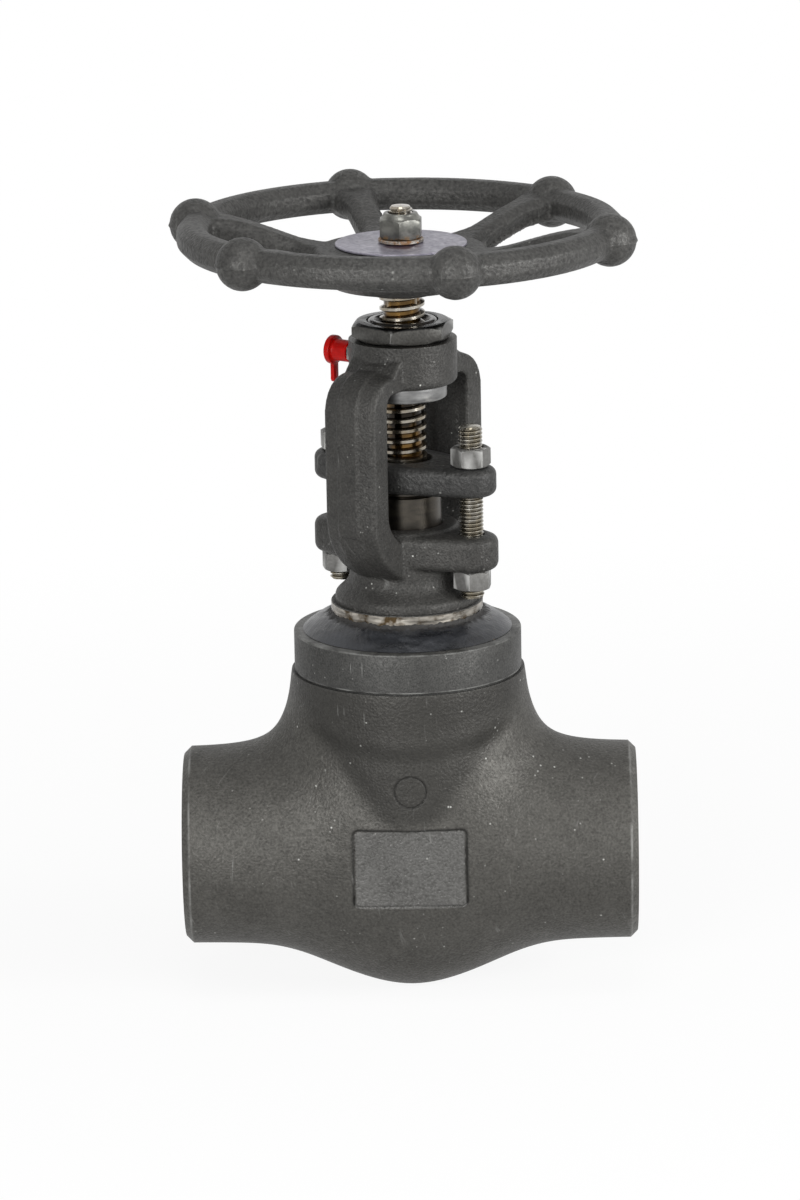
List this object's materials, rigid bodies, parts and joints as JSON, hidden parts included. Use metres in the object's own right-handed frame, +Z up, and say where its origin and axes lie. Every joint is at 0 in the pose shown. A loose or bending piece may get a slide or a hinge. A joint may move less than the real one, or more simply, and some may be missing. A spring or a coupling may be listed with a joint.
{
  "type": "globe valve",
  "caption": "Forged steel globe valve with socket pipe ends, seal-welded bonnet, outside screw and yoke, rising stem and a knobbed handwheel.",
  "frame": {"origin": "where the pipe axis crosses the stem axis", "axes": "+X along the pipe towards the outlet, +Z up the stem, +Y away from the marking pad"},
  "size_m": [0.152, 0.1524, 0.264],
  "materials": {
    "forged_steel": "forged, dark oxide skin, oiled",
    "weld_metal": "weld bead with dark glassy scale",
    "machined_steel": "turned",
    "nut_steel": "plain, dull",
    "bushing_iron": "turned",
    "stem_steel": "turned and threaded, oiled",
    "hard_facing": "ground",
    "red_plastic": "moulded, soft",
    "anodised_plate": "thin plate, dull, greased",
    "braided_graphite": "braided packing",
    "moulded_graphite": "die formed packing"
  },
  "bodies": {
    "valve": {"valve_body": "forged_steel", "seal_weld": "weld_metal", "bonnet_yoke": "forged_steel", "gland_flange": "forged_steel", "gland_bushing": "machined_steel", "gland_stud_right": "machined_steel", "gland_stud_left": "machined_steel", "gland_nut_upper_right": "nut_steel", "gland_nut_upper_left": "nut_steel", "gland_nut_lower_right": "nut_steel", "gland_nut_lower_left": "nut_steel", "yoke_bushing": "bushing_iron", "yoke_bushing_nut": "nut_steel", "grease_nipple": "nut_steel", "seat_ring": "hard_facing", "backseat_bushing": "machined_steel", "packing_ring_1": "braided_graphite", "packing_ring_2": "moulded_graphite", "packing_ring_3": "moulded_graphite", "packing_ring_4": "moulded_graphite", "packing_ring_5": "braided_graphite"},
    "nipple_cap": {"nipple_cap": "red_plastic"},
    "disc": {"disc": "hard_facing", "disc_nut": "machined_steel"},
    "stem": {"stem": "stem_steel", "handwheel": "forged_steel", "id_plate": "anodised_plate", "handwheel_washer": "nut_steel", "handwheel_nut": "nut_steel"}
  },
  "joints": [
    {"name": "stem_lift", "type": "slide", "parent": "valve", "child": "disc", "axis": [0, 0, 1], "range_m": [0, 0.0136]},
    {"name": "handwheel_turn", "type": "hinge", "parent": "disc", "child": "stem", "pos_m": [0, 0, 0.1865], "axis": [0, 0, 1], "range_deg": [0, 1440]},
    {"name": "nipple_cap_pull", "type": "slide", "parent": "valve", "child": "nipple_cap", "axis": [-0.8368, 0.5476, 0], "range_m": [0, 0.012]}
  ],
  "couplings": [
    {"joint": "stem_lift", "follows": "handwheel_turn", "m_per_rad": 0.00054113}
  ]
}
